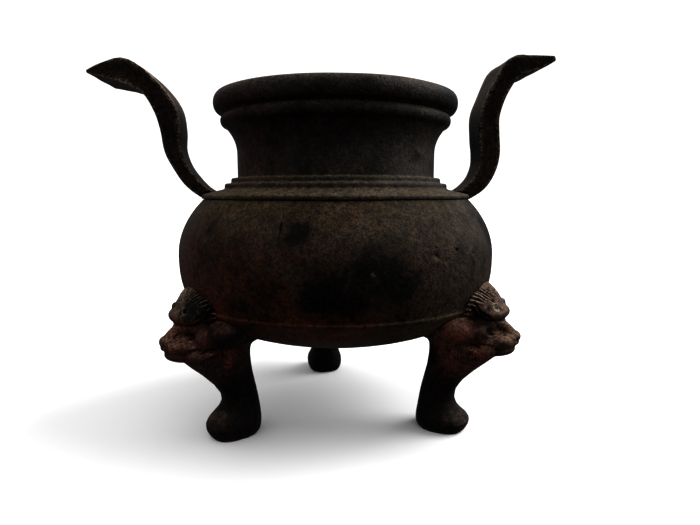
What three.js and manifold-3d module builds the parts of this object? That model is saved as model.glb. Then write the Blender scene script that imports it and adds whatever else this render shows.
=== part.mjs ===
// Tripod incense burner of cast bronze, in millimetres, +Z up, standing on z = 0.
// The bowl, the collar with its neck and lip, three mask-headed legs and two strap handles are
// separate castings. Tenons on the legs and the handles pass through the bowl and are peened
// over roves, and the handles' tenons also hold the collar down on the bowl.
// Each leg and each handle is built with its outward direction along +X and is then turned
// about the vessel's axis to its place.

import * as THREE from 'three';
import { mergeVertices } from 'three/addons/utils/BufferGeometryUtils.js';
import Module from 'manifold-3d';

const wasm = await Module();
wasm.setup();

// Fits
const seatGap = 0.3; // between castings that seat on each other
const tenonClearance = 0.4; // round a tenon in its hole
const cutOverrun = 4; // how far a cut runs past what it cuts
const weldShare = 0.001; // of the seat gap, within which corners are one

// Bowl
const bellyRadius = 88.3;
const bellyHeight = 93.5; // level of the widest line
const bellyDepth = 47.6; // from the widest line down to the bottom
const bellyRise = 56; // half height of the ellipse that the upper belly follows
const bellyFullness = 2.75; // exponent of the lower belly's curve, 2 would be an ellipse
const shoulderRise = 30.2; // from the widest line up to the ledge that carries the collar
const bowlWall = 4.5;
const ledgeThickness = 5;
const mouthInset = 27.3; // from the widest line in to the mouth
const bandDrop = 24.5; // from the widest line down to the raised line round the lower belly
const bandWidth = 4;
const bandProud = 1.1;

// Collar, neck and lip
const flangeInset = 13.3; // from the belly's widest line in to the flange's edge
const flangeThickness = 5.2; // where the neck's steps begin
const flangeEdge = 2; // height of the flange's outer edge
const stepRun = 3.6; // width of each of the two steps between flange and neck
const stepRise = 3;
const neckInset = 19.4; // from the flange's edge in to the neck
const neckWall = 5;
const neckStraight = 13; // straight length of the neck above the steps
const spigotDepth = 8; // how far the collar reaches down into the bowl's mouth
const beadProud = 8.6; // how far the small moulding under the lip stands out from the neck
const beadRise = 30.6; // from the neck's foot up to its widest line
const beadSize = 3.4; // half its height
const lipProud = 12.2;
const lipRise = 39.8; // from the neck's foot up to its widest line
const lipSize = 5; // half its height
const rimWidth = 3.2; // flat top of the lip

// Legs
const legForms = {
  front_left_leg: { angle: 212 },
  front_right_leg: { angle: 327 },
  rear_leg: { angle: 95 },
};
const footInset = 22.3; // from the belly's widest line in to the middle of each foot
const footLength = 30.4;
const footWidth = 24.6;
const haunchRise = 12; // how far the leg runs up behind the mask from the chin's level
const maskBelowBand = 25; // from the raised line, which the masks sit across, down to the chin
const maskTall = 41; // from the chin to the crown
const maskSet = 8.3; // from the belly's widest radius in to the mask's root
const maskReach = 24; // from the mask's root out to the tip of the nose
const maskWidth = 38; // across the mane

// Leg tenons
const legTenonInset = 26.3; // from the belly's widest line in to the tenon
const legTenonRadius = 5;
const padRadius = 9.5; // flat cast boss inside the bowl round each tenon
const padMargin = 0.8; // how far the boss stands above the wall beside it
const legRoveRadius = 8.5;
const legRoveThickness = 2.5;
const legPeenRadius = 7;
const legPeenHeight = 3;

// Handles
const strapWidth = 18;
const tipWidth = 40;
const strapChamfer = 1;
const tipThickness = 1.6;
const rootOutset = 2.5; // from the tenon out to where the strap's middle line leaves the flange
const rootSink = 2.6; // how far that point lies below the flange's slope, so that the slope cuts it
const handleForms = {
  left_handle: {
    angle: 180,
    reach: 57.5,
    rise: 62,
    thickness: 9.8,
    curveShares: [
      [0, 0], [0.195, 0.1], [0.32, 0.29], [0.37, 0.6], [0.43, 0.81], [0.61, 1.01], [0.78, 1.07], [1, 1],
    ],
  },
  right_handle: {
    angle: 0,
    reach: 48,
    rise: 72.5,
    thickness: 11.6,
    curveShares: [
      [0, 0], [0.24, 0.08], [0.365, 0.25], [0.345, 0.5], [0.37, 0.75], [0.54, 0.935], [0.75, 1.01], [1, 1],
    ],
  },
};
const flareStartShare = 0.46; // along the strap, where it begins to widen
const taperStartShare = 0.7; // along the strap, where it begins to thin
const rootThicknessShare = 0.72;
const handleTenonRadius = 3;
const handleRoveRadius = 5;
const handleRoveThickness = 1.8;
const handleRoveMargin = 0.6; // between the rove and the bowl's wall beside it
const handlePeenRadius = 4.3;
const handlePeenHeight = 1.8;

// Steps round and along the curved faces
const turnSteps = 40;
const tenonSteps = 16;
const bellySteps = 9;
const mouldingSteps = 5;
const legSteps = 16;
const headSteps = 12;
const strapSteps = 14;

// Radii and levels that follow from the sizes above
const mouthRadius = bellyRadius - mouthInset;
const flangeRadius = bellyRadius - flangeInset;
const neckRadius = flangeRadius - neckInset;
const beadRadius = neckRadius + beadProud;
const lipRadius = neckRadius + lipProud;
const footCircle = bellyRadius - footInset;
const legTenonCircle = bellyRadius - legTenonInset;
const bandHeight = bellyHeight - bandDrop;
const maskBottom = bandHeight - maskBelowBand;
const legHeight = maskBottom + haunchRise; // from the floor to where the leg runs into the mask
const shoulderHeight = bellyHeight + shoulderRise;
const flangeBottom = shoulderHeight + seatGap;
const flangeTop = flangeBottom + flangeThickness;
const neckBottom = flangeTop + 2 * stepRise;
const beadHeight = neckBottom + beadRise;
const lipHeight = neckBottom + lipRise;
const ledgeBottom = shoulderHeight - ledgeThickness;
const handleTenonCircle = shoulderRadiusAt(ledgeBottom, bowlWall) - handleRoveMargin - handleRoveRadius;
const rootRadius = handleTenonCircle + rootOutset;

// Radius of the lower belly at a level, on the outside or, with an inset, on the inside.
function bellyRadiusAt(height, inset) {
  const drop = (bellyHeight - height) / (bellyDepth - inset);
  return (bellyRadius - inset) * (1 - drop ** bellyFullness) ** (1 / bellyFullness);
}

// Level of the lower belly at a radius.
function bellyHeightAt(radius, inset) {
  const share = radius / (bellyRadius - inset);
  return bellyHeight - (bellyDepth - inset) * (1 - share ** bellyFullness) ** (1 / bellyFullness);
}

// Radius of the upper belly at a level.
function shoulderRadiusAt(height, inset) {
  const climb = (height - bellyHeight) / (bellyRise - inset);
  return (bellyRadius - inset) * Math.sqrt(1 - climb ** 2);
}

// Points of the belly from the bottom on the axis up to a level on the shoulder.
function bellyProfile(inset, top) {
  const points = [];
  const power = 2 / bellyFullness;
  for (let i = 0; i <= bellySteps; i += 1) {
    const turn = (Math.PI / 2) * (i / bellySteps);
    const radius = (bellyRadius - inset) * Math.sin(turn) ** power;
    points.push([radius, bellyHeight - (bellyDepth - inset) * Math.cos(turn) ** power]);
  }
  points[0][0] = 0;
  const lastTurn = Math.asin((top - bellyHeight) / (bellyRise - inset));
  for (let i = 1; i <= mouldingSteps; i += 1) {
    const height = bellyHeight + (bellyRise - inset) * Math.sin(lastTurn * (i / mouldingSteps));
    points.push([shoulderRadiusAt(height, inset), height]);
  }
  return points;
}

// The outside of the belly with its raised line; the points near the line give way to it.
function outerProfile(inset) {
  const low = bandHeight - bandWidth / 2;
  const high = bandHeight + bandWidth / 2;
  const profile = bellyProfile(inset, shoulderHeight);
  const band = [
    [bellyRadiusAt(low, inset), low],
    [bellyRadiusAt(bandHeight, inset) + bandProud, bandHeight],
    [bellyRadiusAt(high, inset), high],
  ];
  const below = profile.filter((point) => point[1] < low - bandWidth / 4);
  const above = profile.filter((point) => point[1] > high + bandWidth / 4);
  return [...below, ...band, ...above];
}

// A half circle of points that bulges outward, from below its middle to above it.
function beadProfile(radius, height, size, depth) {
  const points = [];
  for (let i = 0; i <= mouldingSteps; i += 1) {
    const turn = Math.PI * (i / mouldingSteps - 1 / 2);
    points.push([radius - depth * (1 - Math.cos(turn)), height + size * Math.sin(turn)]);
  }
  return points;
}

// A profile of [radius, height] points turned about the Z axis. It starts and ends on the axis,
// or closes on itself.
function turned(profile, steps) {
  const points = profile.map(([radius, height]) => new THREE.Vector2(radius, height));
  const geometry = new THREE.LatheGeometry(points, steps);
  geometry.rotateX(Math.PI / 2);
  return geometry;
}

// A closed body with shared vertices and no empty triangles, for joining and cutting.
function solid(geometry) {
  const bare = geometry.clone();
  bare.deleteAttribute('normal');
  bare.deleteAttribute('uv');
  const merged = mergeVertices(bare, seatGap * weldShare);
  const corners = merged.index.array;
  const kept = [];
  for (let i = 0; i < corners.length; i += 3) {
    const [a, b, c] = corners.slice(i, i + 3);
    if (a !== b && b !== c && c !== a) {
      kept.push(a, b, c);
    }
  }
  const mesh = new wasm.Mesh({
    numProp: 3,
    vertProperties: new Float32Array(merged.attributes.position.array),
    triVerts: new Uint32Array(kept),
  });
  return new wasm.Manifold(mesh);
}

function geometryOf(body) {
  const mesh = body.getMesh();
  const geometry = new THREE.BufferGeometry();
  geometry.setAttribute('position', new THREE.BufferAttribute(mesh.vertProperties, 3));
  geometry.setIndex(new THREE.BufferAttribute(mesh.triVerts, 1));
  geometry.computeVertexNormals();
  return geometry;
}

// An upright round bar between two levels, at a place outward along +X.
function upright(radius, bottom, top, outward = 0) {
  const bar = turned([[0, bottom], [radius, bottom], [radius, top], [0, top]], tenonSteps);
  bar.translate(outward, 0, 0);
  return bar;
}

// A flat ring at a place outward along +X.
function rove(hole, radius, bottom, thickness, outward) {
  const top = bottom + thickness;
  const ring = turned(
    [[hole, bottom], [radius, bottom], [radius, top], [hole, top], [hole, bottom]],
    tenonSteps,
  );
  ring.translate(outward, 0, 0);
  return geometryOf(solid(ring));
}

// Rings of equally many points joined into a closed body, each end closed by a fan.
function lofted(rings) {
  const count = rings[0].length;
  const positions = rings.flat(2);
  const faces = [];
  for (let ring = 0; ring < rings.length - 1; ring += 1) {
    for (let i = 0; i < count; i += 1) {
      const next = (i + 1) % count;
      const a = ring * count + i;
      const b = ring * count + next;
      faces.push(a, b, b + count, a, b + count, a + count);
    }
  }
  const last = (rings.length - 1) * count;
  for (let i = 1; i < count - 1; i += 1) {
    faces.push(0, i + 1, i);
    faces.push(last, last + i, last + i + 1);
  }
  const geometry = new THREE.BufferGeometry();
  geometry.setAttribute('position', new THREE.Float32BufferAttribute(positions, 3));
  geometry.setIndex(faces);
  return geometry;
}

// A turned body moved round the axis to the given angle.
function turnedTo(body, degrees) {
  return body.rotate([0, 0, degrees]);
}

const padTop = bellyHeightAt(legTenonCircle + padRadius, bowlWall) + padMargin;

// The belly as a full solid, larger or smaller than the real one by the inset.
function bellySolid(inset) {
  return solid(turned([...outerProfile(inset), [0, shoulderHeight]], turnSteps));
}

// Belly casting: open at the mouth, with a ledge for the collar and a boss round each leg tenon.
function bowl() {
  const inside = bellyProfile(bowlWall, ledgeBottom).reverse();
  const shell = solid(turned(
    [...outerProfile(0), [mouthRadius, shoulderHeight], [mouthRadius, ledgeBottom], ...inside],
    turnSteps,
  ));
  const inner = bellySolid(bowlWall / 2);
  let body = shell;
  for (const { angle } of Object.values(legForms)) {
    const pad = solid(upright(padRadius, 0, padTop, legTenonCircle));
    body = body.add(turnedTo(pad, angle).intersect(inner));
    const hole = upright(legTenonRadius + tenonClearance, -cutOverrun, padTop + cutOverrun, legTenonCircle);
    body = body.subtract(turnedTo(solid(hole), angle));
  }
  return geometryOf(body.subtract(handleHoles()));
}

// Holes for both handle tenons, through the collar's flange and the bowl's ledge.
function handleHoles() {
  const radius = handleTenonRadius + tenonClearance;
  const holes = Object.values(handleForms).map(({ angle }) => {
    const hole = upright(radius, ledgeBottom - cutOverrun, flangeTop + cutOverrun, handleTenonCircle);
    return turnedTo(solid(hole), angle);
  });
  return holes[0].add(holes[1]);
}

// Outside of the collar from the flange's edge to the lip, each point moved out by a gap.
function collarOutside(gap) {
  const stepOuter = neckRadius + 2 * stepRun;
  const cavettoTop = beadHeight - beadSize;
  const neckTop = neckBottom + neckStraight;
  return [
    [flangeRadius + gap, flangeBottom],
    [flangeRadius + gap, flangeBottom + flangeEdge + gap],
    [stepOuter + gap, flangeTop + gap],
    [stepOuter + gap, flangeTop + stepRise + gap],
    [stepOuter - stepRun + gap, flangeTop + stepRise + gap],
    [stepOuter - stepRun + gap, neckBottom + gap],
    [neckRadius + gap, neckBottom + gap],
    [neckRadius + gap, neckTop],
    [neckRadius + gap + (beadRadius - neckRadius) / 8, (neckTop + cavettoTop) / 2],
    ...beadProfile(beadRadius + gap, beadHeight, beadSize, (beadRadius - neckRadius) / 3),
    ...beadProfile(lipRadius + gap, lipHeight, lipSize, (lipRadius - neckRadius) / 4),
  ];
}

// Collar casting: flange, neck and lip in one, with a spigot that stands in the bowl's mouth.
function collar() {
  const spigotRadius = mouthRadius - tenonClearance;
  const boreRadius = neckRadius - neckWall;
  const spigotBottom = shoulderHeight - spigotDepth;
  const rimTop = lipHeight + lipSize;
  const outside = collarOutside(0);
  const rimOuter = outside[outside.length - 1][0];
  const shell = turned([
    [boreRadius, spigotBottom],
    [spigotRadius, spigotBottom],
    [spigotRadius, flangeBottom],
    ...outside,
    [rimOuter - rimWidth, rimTop],
    [rimOuter - 2 * rimWidth, rimTop - rimWidth / 2],
    [boreRadius + (beadRadius - neckRadius) / 2, beadHeight],
    [boreRadius, neckBottom + neckStraight],
    [boreRadius, spigotBottom],
  ], turnSteps);
  return geometryOf(solid(shell).subtract(handleHoles()));
}

// One level of a leg or mask: a soft rectangle from its back to its front.
function softRing(height, back, front, halfWidth) {
  const ring = [];
  const soften = (value) => Math.sign(value) * Math.abs(value) ** (4 / 5);
  for (let i = 0; i < legSteps; i += 1) {
    const turn = 2 * Math.PI * (i / legSteps);
    const outward = (back + front) / 2 + ((front - back) / 2) * soften(Math.cos(turn));
    ring.push([outward, halfWidth * soften(Math.sin(turn)), height]);
  }
  return ring;
}

// Levels of the leg: its height, then its back and front from the foot's middle as shares of
// the foot's length, and its width as a share of the foot's.
const legShares = [
  [0, -0.44, 0.42, 0.82],
  [0.04, -0.49, 0.475, 0.95],
  [0.12, -0.5, 0.5, 1],
  [0.2, -0.48, 0.43, 0.93],
  [0.26, -0.45, 0.3, 0.81],
  [0.34, -0.4, 0.21, 0.71],
  [0.42, -0.37, 0.25, 0.72],
  [0.53, -0.31, 0.4, 0.79],
  [0.675, -0.26, 0.655, 0.91],
  [0.77, -0.25, 0.9, 0.98],
  [0.87, -0.28, 0.98, 1.04],
  [0.97, -0.24, 0.85, 0.9],
  [1.06, -0.1, 0.55, 0.5],
];

// Levels of the mask from chin to crown: height, front as a share of its reach, width.
const maskShares = [
  [0, 0.45, 0.34],
  [0.05, 0.78, 0.4],
  [0.11, 0.9, 0.43],
  [0.22, 0.96, 0.47],
  [0.305, 1, 0.5],
  [0.38, 0.86, 0.58],
  [0.47, 0.74, 0.7],
  [0.53, 0.78, 0.8],
  [0.59, 0.8, 0.87],
  [0.67, 0.71, 0.95],
  [0.76, 0.6, 1],
  [0.86, 0.48, 0.92],
  [0.93, 0.38, 0.72],
  [0.99, 0.28, 0.4],
];

// Swellings on both sides of the mask: place outward, sideways and up, then half sizes in the
// same order, as shares of the mask's reach, half its width and its height.
const swellingShares = {
  jowl: { place: [0.1, 0.46, 0.1], half: [0.42, 0.26, 0.17] },
  cheek: { place: [0.2, 0.42, 0.36], half: [0.42, 0.36, 0.2] },
  browCurl: { place: [0.56, 0.32, 0.67], half: [0.16, 0.2, 0.1] },
};

function maskSwelling([outward, sideways, up], [length, width, height]) {
  const swelling = new THREE.SphereGeometry(1, headSteps, headSteps / 2);
  swelling.rotateX(Math.PI / 2);
  swelling.scale(length * maskReach, (width * maskWidth) / 2, height * maskTall);
  const root = bellyRadius - maskSet;
  swelling.translate(
    root + outward * maskReach,
    (sideways * maskWidth) / 2,
    maskBottom + up * maskTall,
  );
  return solid(swelling);
}

// Leg casting: foot, ankle, haunch and mask, cut to the belly where it will stand, with its
// tenon and peened head.
function leg(angle) {
  const legRings = legShares.map(([height, back, front, width]) => softRing(
    height * legHeight,
    footCircle + back * footLength,
    footCircle + front * footLength,
    (width * footWidth) / 2,
  ));
  const root = bellyRadius - maskSet;
  const maskRings = maskShares.map(([height, front, width]) => softRing(
    maskBottom + height * maskTall,
    root - maskSet,
    root + front * maskReach,
    (width * maskWidth) / 2,
  ));
  let body = solid(lofted(legRings)).add(solid(lofted(maskRings)));
  for (const { place, half } of Object.values(swellingShares)) {
    const [outward, sideways, up] = place;
    body = body.add(maskSwelling(place, half)).add(maskSwelling([outward, -sideways, up], half));
  }
  body = body.subtract(turnedTo(bellySolid(-seatGap), -angle));
  const tenonFoot = legHeight / 2;
  const peenBottom = padTop + 2 * seatGap + legRoveThickness;
  const peenTop = peenBottom + legPeenHeight;
  const tenon = solid(upright(legTenonRadius, tenonFoot, peenBottom, legTenonCircle));
  const peen = turned([
    [0, peenBottom],
    [legPeenRadius, peenBottom],
    [legPeenRadius, (peenBottom + peenTop) / 2],
    [legPeenRadius / 2, peenTop],
    [0, peenTop],
  ], tenonSteps);
  peen.translate(legTenonCircle, 0, 0);
  return geometryOf(body.add(tenon).add(solid(peen)));
}

// A section of the strap square to its middle line, with its four edges taken off.
function strapRing(place, outward, thickness, width) {
  const edge = Math.min(strapChamfer, thickness / 3);
  const corners = [
    [thickness / 2, width / 2 - edge],
    [thickness / 2 - edge, width / 2],
    [edge - thickness / 2, width / 2],
    [-thickness / 2, width / 2 - edge],
    [-thickness / 2, edge - width / 2],
    [edge - thickness / 2, -width / 2],
    [thickness / 2 - edge, -width / 2],
    [thickness / 2, edge - width / 2],
  ];
  return corners.map(([across, along]) => [
    place.x + across * outward.x,
    along,
    place.z + across * outward.z,
  ]);
}

// Handle casting: the strap climbs in an S and flares to a thin edge; its foot is cut to the
// flange and a tenon goes down from it.
function handle({ reach, rise, thickness, curveShares }) {
  const rootHeight = flangeBottom + rootSink;
  const points = curveShares.map(([out, up]) => new THREE.Vector3(
    rootRadius + out * reach,
    0,
    rootHeight + up * rise,
  ));
  const curve = new THREE.CatmullRomCurve3(points, false, 'centripetal');
  const rings = [];
  for (let i = 0; i <= strapSteps; i += 1) {
    const along = i / strapSteps;
    const place = curve.getPointAt(along);
    const tangent = curve.getTangentAt(along);
    const outward = new THREE.Vector3(tangent.z, 0, -tangent.x);
    const flare = Math.max(0, (along - flareStartShare) / (1 - flareStartShare));
    const taper = Math.max(0, (along - taperStartShare) / (1 - taperStartShare));
    const swell = rootThicknessShare + (1 - rootThicknessShare) * Math.min(1, along / flareStartShare);
    rings.push(strapRing(
      place,
      outward,
      thickness * swell * (1 - taper) + tipThickness * taper,
      strapWidth + (tipWidth - strapWidth) * flare,
    ));
  }
  const seat = solid(turned([
    [0, ledgeBottom],
    [flangeRadius + seatGap, ledgeBottom],
    ...collarOutside(seatGap),
    [0, lipHeight + lipSize],
  ], turnSteps)).add(bellySolid(-seatGap));
  const roveBottom = ledgeBottom - seatGap - handleRoveThickness;
  const peenTop = roveBottom - seatGap;
  const tenonTop = flangeTop + seatGap;
  const tenon = solid(upright(handleTenonRadius, peenTop, tenonTop, handleTenonCircle));
  const peen = solid(upright(handlePeenRadius, peenTop - handlePeenHeight, peenTop, handleTenonCircle));
  return geometryOf(solid(lofted(rings)).subtract(seat).add(tenon).add(peen));
}

// Patinated bronze: almost black on the handles, browner on the legs, greyer on the shoulder.
function bronze(color, roughness) {
  return new THREE.MeshStandardMaterial({ color, roughness, metalness: 0.55 });
}

const vessel = new THREE.Group();

function place(name, geometry, material, degrees = 0) {
  const mesh = new THREE.Mesh(geometry, material);
  mesh.name = name;
  mesh.rotation.z = THREE.MathUtils.degToRad(degrees);
  vessel.add(mesh);
}

place('bowl', bowl(), bronze('#3a3226', 0.66));
place('neck_collar', collar(), bronze('#352d22', 0.62));

const roveBottoms = {
  leg: padTop + seatGap,
  handle: ledgeBottom - seatGap - handleRoveThickness,
};

for (const [name, { angle }] of Object.entries(legForms)) {
  place(name, leg(angle), bronze('#34241b', 0.6), angle);
  const hole = legTenonRadius + tenonClearance;
  const ring = rove(hole, legRoveRadius, roveBottoms.leg, legRoveThickness, legTenonCircle);
  place(`${name}_rove`, ring, bronze('#4a3d2c', 0.7), angle);
}

for (const [name, form] of Object.entries(handleForms)) {
  place(name, handle(form), bronze('#211d19', 0.5), form.angle);
  const hole = handleTenonRadius + tenonClearance;
  const ring = rove(hole, handleRoveRadius, roveBottoms.handle, handleRoveThickness, handleTenonCircle);
  place(`${name}_rove`, ring, bronze('#4a3d2c', 0.7), form.angle);
}

// The origin is the middle of the footprint of the whole outline, on the floor.
const burner = new THREE.Group();
burner.add(vessel);
burner.updateMatrixWorld(true);
const outline = new THREE.Box3().setFromObject(burner, true);
const middle = outline.getCenter(new THREE.Vector3());
vessel.position.set(-middle.x, -middle.y, 0);
burner.updateMatrixWorld(true);

export default burner;
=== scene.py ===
# %% [markdown]
# # A cast bronze incense burner
# The object is a round tripod burner: a squat bowl, a collar with neck and lip, two strap
# handles and three legs that end in beast masks. Each is its own sand casting. The packed
# solids give every piece its place; this lesson gives each one its fine shape and its patina.

import math

import bmesh
import bpy
import numpy as np
from mathutils import Matrix, Vector, noise


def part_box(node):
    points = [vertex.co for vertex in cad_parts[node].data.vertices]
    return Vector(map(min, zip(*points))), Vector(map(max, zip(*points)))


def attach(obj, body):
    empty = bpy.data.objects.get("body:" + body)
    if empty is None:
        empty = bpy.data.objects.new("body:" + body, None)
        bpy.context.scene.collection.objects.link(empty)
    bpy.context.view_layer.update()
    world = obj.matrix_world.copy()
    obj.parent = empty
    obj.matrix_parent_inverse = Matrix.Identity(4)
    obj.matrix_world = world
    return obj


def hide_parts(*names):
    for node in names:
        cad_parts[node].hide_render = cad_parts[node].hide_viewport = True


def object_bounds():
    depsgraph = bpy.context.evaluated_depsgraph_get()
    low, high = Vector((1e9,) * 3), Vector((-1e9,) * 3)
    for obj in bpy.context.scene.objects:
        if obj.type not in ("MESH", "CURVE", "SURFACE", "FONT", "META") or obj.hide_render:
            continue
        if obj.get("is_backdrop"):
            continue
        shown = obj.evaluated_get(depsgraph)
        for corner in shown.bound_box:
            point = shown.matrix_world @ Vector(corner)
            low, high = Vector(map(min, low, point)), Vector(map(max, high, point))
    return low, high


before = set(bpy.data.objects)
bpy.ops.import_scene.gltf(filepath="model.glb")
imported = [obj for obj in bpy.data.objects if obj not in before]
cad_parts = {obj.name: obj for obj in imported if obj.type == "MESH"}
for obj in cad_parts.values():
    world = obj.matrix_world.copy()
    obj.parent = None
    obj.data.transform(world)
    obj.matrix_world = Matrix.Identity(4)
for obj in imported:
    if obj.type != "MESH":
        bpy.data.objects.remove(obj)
cad_low, cad_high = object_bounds()
MM = 0.001
print("solids:", len(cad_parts), "box in mm:", [round(v / MM, 1) for v in cad_high - cad_low])

# %% [markdown]
# ## The main sizes
# All turned pieces share one upright axis, the middle of the collar. The bowl's and the collar's
# boxes give their radii and levels, so the fine pieces follow the solids.

# %% Sizes read from the solids
bowl_low, bowl_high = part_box("bowl")
collar_low, collar_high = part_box("neck_collar")
axis = Vector(((collar_low.x + collar_high.x) / 2, (collar_low.y + collar_high.y) / 2, 0))
belly_radius = (bowl_high.x - bowl_low.x) / 2 / MM
bowl_bottom = bowl_low.z / MM
ledge_top = bowl_high.z / MM
flange_radius = (collar_high.x - collar_low.x) / 2 / MM
spigot_bottom = collar_low.z / MM
rim_top = collar_high.z / MM
# Seated castings keep the gap between them. The fit lies round the spigot, and round a tenon in
# its rove.
seat_gap = 0.3
fit = 0.4
print("axis:", tuple(axis / MM), "belly:", belly_radius, "rim:", rim_top)

# %% [markdown]
# ## Camera, floor and light
# The picture was taken with a short lens close to the burner, a little above half its height.
# The floor and the backdrop are plain and pale. The light is soft and comes from above, behind
# and to the right, so the shadows fall to the left and the front of the bowl stays dark.

# %% Camera
camera_data = bpy.data.cameras.new("camera")
camera_data.sensor_width = 36
camera_data.lens = 26.743
camera = bpy.data.objects.new("camera", camera_data)
camera.location = (-0.01105, -0.31124, 0.1273)
camera.rotation_euler = (math.radians(82.333), 0, math.radians(-4.487))
bpy.context.scene.collection.objects.link(camera)
bpy.context.scene.camera = camera
print("camera at", [round(v / MM) for v in camera.location], "mm, lens:", camera_data.lens, "mm")


# %% Colours and nodes
def linear(hex_colour):
    """An sRGB hex colour as linear RGBA."""
    channels = [int(hex_colour[i:i + 2], 16) / 255 for i in (1, 3, 5)]
    turned = [c / 12.92 if c <= 0.04045 else ((c + 0.055) / 1.055) ** 2.4 for c in channels]
    return (*turned, 1)


def add_node(tree, kind, inputs=None, **settings):
    """A node with its settings, and its sockets set to values or linked to other sockets."""
    node = tree.nodes.new(kind)
    for name, value in settings.items():
        setattr(node, name, value)
    for name, value in (inputs or {}).items():
        if isinstance(value, bpy.types.NodeSocket):
            tree.links.new(value, node.inputs[name])
        else:
            node.inputs[name].default_value = value
    return node


print("mid grey #808080 in linear light:", round(linear("#808080")[0], 3))

# %% Floor, light and backdrop
# The floor reaches 40 m each way, so its edge lies at the horizon.
floor_reach = 40
floor_bm = bmesh.new()
bmesh.ops.create_grid(floor_bm, x_segments=1, y_segments=1, size=floor_reach)
floor_mesh = bpy.data.meshes.new("floor")
floor_bm.to_mesh(floor_mesh)
floor_bm.free()
floor = bpy.data.objects.new("floor", floor_mesh)
bpy.context.scene.collection.objects.link(floor)
floor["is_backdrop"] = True

paint = bpy.data.materials.new("matt_white_paint")
paint.use_nodes = True
coat = paint.node_tree.nodes["Principled BSDF"]
coat.inputs["Base Color"].default_value = linear("#f2f2f2")
coat.inputs["Roughness"].default_value = 0.9
coat.inputs["Specular IOR Level"].default_value = 0
floor_mesh.materials.append(paint)

sky = bpy.data.lights.new("window_light", "SUN")
sky.energy = 3.6
sky.angle = math.radians(48)
lamp = bpy.data.objects.new("window_light", sky)
lamp.rotation_euler = (math.radians(-4), math.radians(53), 0)
bpy.context.scene.collection.objects.link(lamp)
# The picture shows hardly any light thrown back by the floor, so bounced light doesn't see it.
floor.visible_diffuse = False
floor.visible_glossy = False

world = bpy.data.worlds.new("pale_room")
bpy.context.scene.world = world
world.use_nodes = True
tree = world.node_tree
tree.nodes.clear()
# The room is bright overhead and dim near the ground; the camera sees a plain white backdrop.
toward = add_node(tree, "ShaderNodeTexCoord").outputs["Generated"]
upward = add_node(tree, "ShaderNodeSeparateXYZ", {0: toward}).outputs["Z"]
glow = add_node(tree, "ShaderNodeMapRange", {
    "Value": upward, "From Min": -0.1, "From Max": 0.9, "To Min": 0.16, "To Max": 1.5,
}).outputs[0]
path = add_node(tree, "ShaderNodeLightPath")
room = add_node(tree, "ShaderNodeBackground", {"Color": linear("#ffffff"), "Strength": glow})
backdrop = add_node(tree, "ShaderNodeBackground", {"Color": linear("#ffffff"), "Strength": 1.2})
both = add_node(tree, "ShaderNodeMixShader", {
    "Fac": path.outputs["Is Camera Ray"], 1: room.outputs[0], 2: backdrop.outputs[0],
})
add_node(tree, "ShaderNodeOutputWorld", {"Surface": both.outputs[0]})
bpy.context.scene.view_settings.view_transform = "Standard"
bpy.context.scene.view_settings.gamma = 0.75
print("camera, floor and light are in place")


# %% [markdown]
# ## Helpers for turned work
# A turned piece starts as a closed outline of corners in radius and height. Each corner may be
# rounded, as a worn sand casting's are. The outline is spun about the axis. A Screw modifier
# could do the same, but a spin gives a finished mesh that can be cut and joined at once.

# %% Rounded outlines
def rounded(corners, steps=3):
    """A closed outline of (radius, height, rounding) corners, with an arc at each rounded one."""
    outline = []
    for i, (radius, height, rounding) in enumerate(corners):
        corner = Vector((radius, height))
        back = Vector(corners[i - 1][:2]) - corner
        ahead = Vector(corners[(i + 1) % len(corners)][:2]) - corner
        if rounding == 0:
            outline.append(corner)
            continue
        # An arc takes less than half of the side before it and of the side after it.
        run = min(rounding, 0.45 * min(back.length, ahead.length))
        start = corner + back.normalized() * run
        end = corner + ahead.normalized() * run
        for k in range(steps + 1):
            t = k / steps
            outline.append(start * (1 - t) ** 2 + corner * 2 * t * (1 - t) + end * t ** 2)
    return outline


# %% Spun bodies
bowl_segments = 160
pin_segments = 48


def spun(outline, segments=bowl_segments):
    """A closed outline of (radius, height) points in mm, turned about the Z axis."""
    bm = bmesh.new()
    verts = [bm.verts.new((radius * MM, 0, height * MM)) for radius, height in outline]
    edges = [bm.edges.new(pair) for pair in zip(verts, verts[1:] + verts[:1])]
    bmesh.ops.spin(
        bm, geom=verts + edges, cent=(0, 0, 0), axis=(0, 0, 1), angle=math.tau,
        steps=segments, use_merge=True,
    )
    bmesh.ops.remove_doubles(bm, verts=bm.verts, dist=0.001 * MM)
    bmesh.ops.recalc_face_normals(bm, faces=bm.faces)
    return bm


def unevenness(bm, amount, patch):
    """Moves the skin in and out by up to amount, in patches of the given size, both in mm."""
    bm.normal_update()
    for vert in bm.verts:
        vert.co += vert.normal * noise.noise(vert.co / (patch * MM)) * amount * MM


# %% From mesh to object
def made(bm, name):
    """The bmesh as a smooth-shaded object."""
    mesh = bpy.data.meshes.new(name)
    bm.to_mesh(mesh)
    bm.free()
    piece = bpy.data.objects.new(name, mesh)
    bpy.context.scene.collection.objects.link(piece)
    mesh.shade_smooth()
    return piece


def apply_modifiers(piece):
    """Works the piece's modifiers into its mesh."""
    graph = bpy.context.evaluated_depsgraph_get()
    mesh = bpy.data.meshes.new_from_object(piece.evaluated_get(graph))
    piece.modifiers.clear()
    piece.data = mesh


def combine(piece, tool, operation):
    """Joins the tool to the piece or cuts it out of the piece."""
    modifier = piece.modifiers.new(operation, "BOOLEAN")
    modifier.operation = operation
    modifier.solver = "EXACT"
    modifier.object = tool
    apply_modifiers(piece)
    bpy.data.objects.remove(tool)


# %% Seats on the solids
# Every finished piece, with the slot of its skin.
seated = []


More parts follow.
